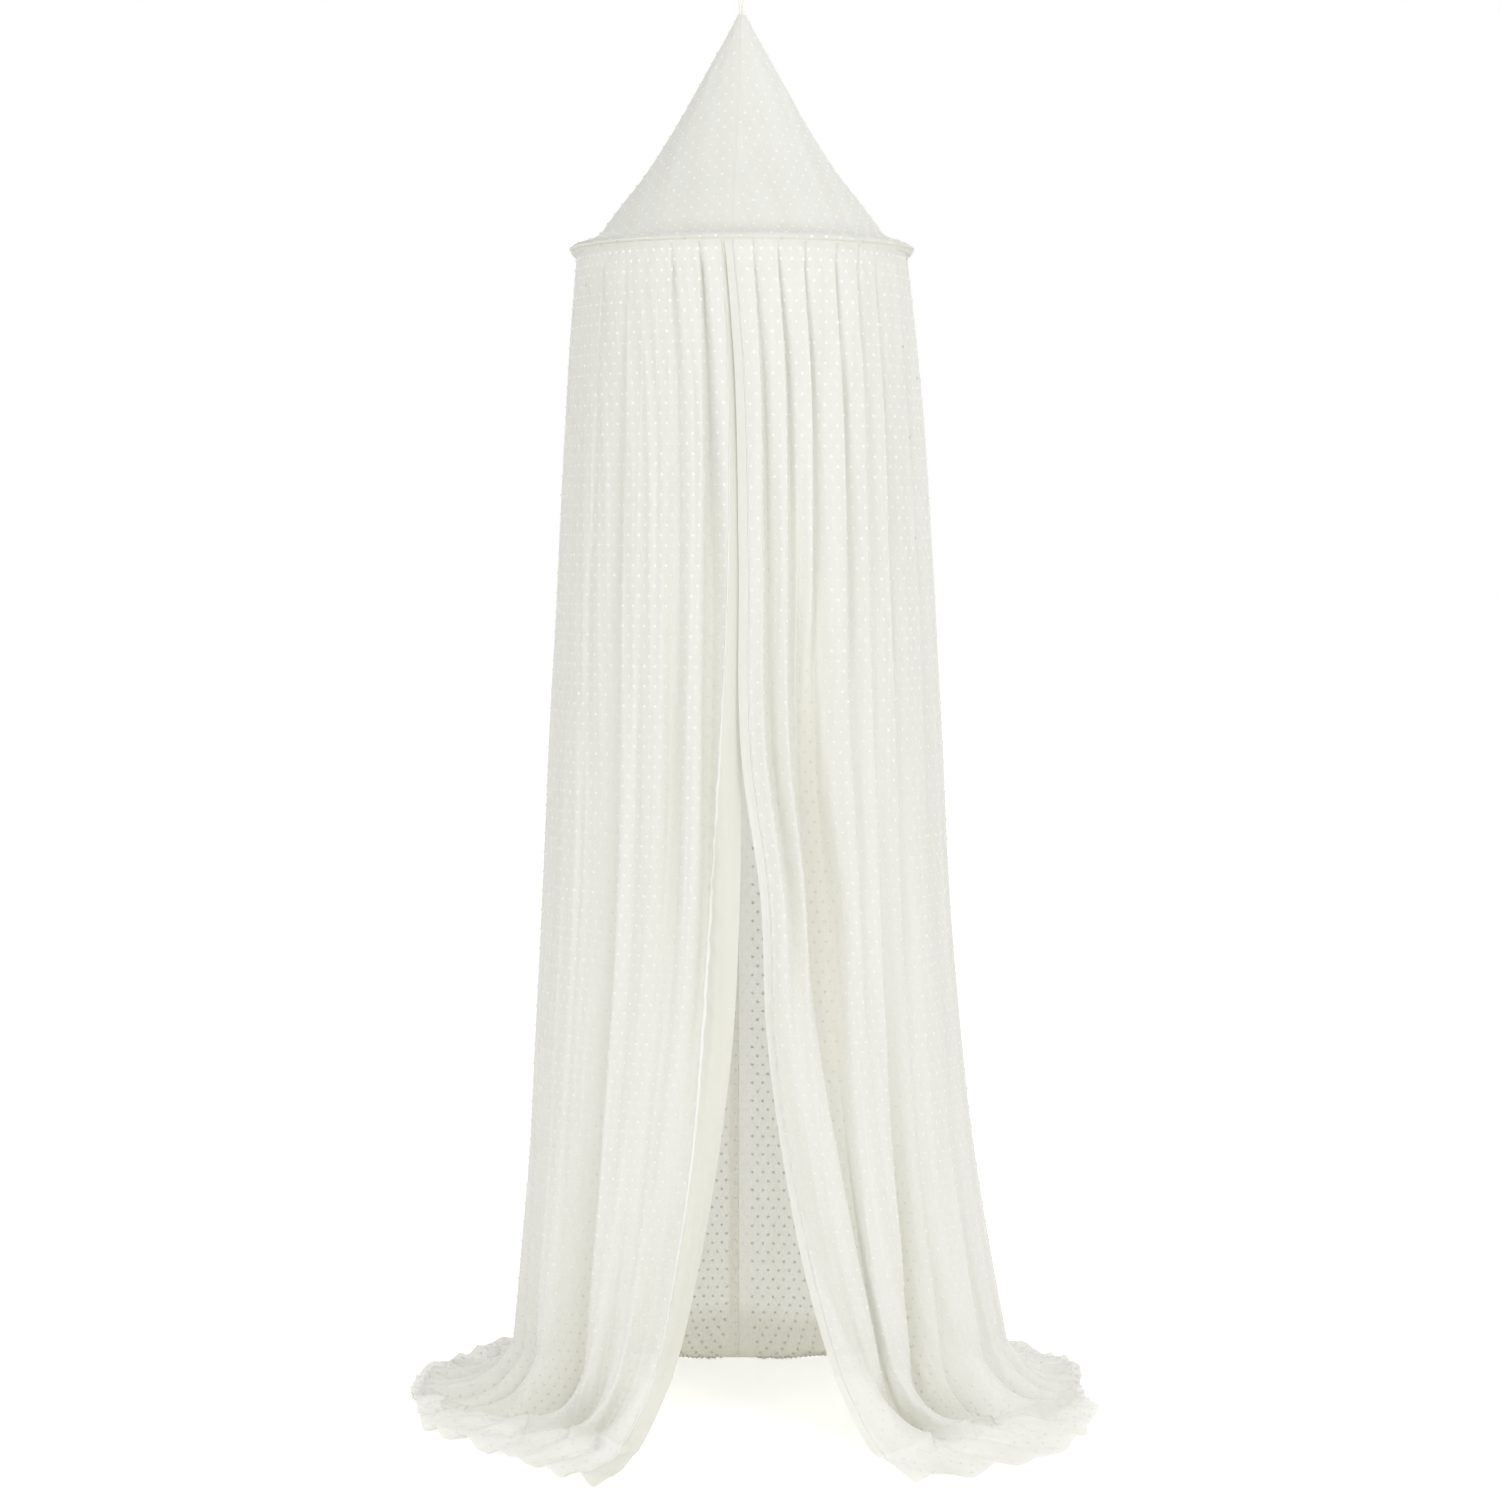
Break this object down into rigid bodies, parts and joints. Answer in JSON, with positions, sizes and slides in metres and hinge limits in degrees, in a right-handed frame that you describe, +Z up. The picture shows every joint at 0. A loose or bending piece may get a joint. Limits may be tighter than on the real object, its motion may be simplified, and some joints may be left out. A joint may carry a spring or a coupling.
{
  "type": "mosquito net canopy with hoop",
  "caption": "Hanging mosquito net canopy: a cone crown on a round hoop and two gathered dotted curtains that spread on the floor, open at the front.",
  "frame": {"origin": "the hanging point, inside the top of the loop of cord", "axes": "+Z up along the hanging line, the opening faces -Y, +X to the right as seen from the front"},
  "size_m": [1.0675, 0.8323, 2.1902],
  "materials": {
    "loop_cord": "twisted cotton cord, ivory",
    "crown_cloth": "soft ivory chiffon with small raised dots",
    "hoop_tube": "plain white plastic tube",
    "curtain_cloth": "sheer ivory chiffon with small raised dots"
  },
  "bodies": {
    "root": {"hang_loop": "loop_cord", "crown": "crown_cloth", "hoop": "hoop_tube", "curtain_left": "curtain_cloth", "curtain_right": "curtain_cloth"}
  },
  "joints": []
}
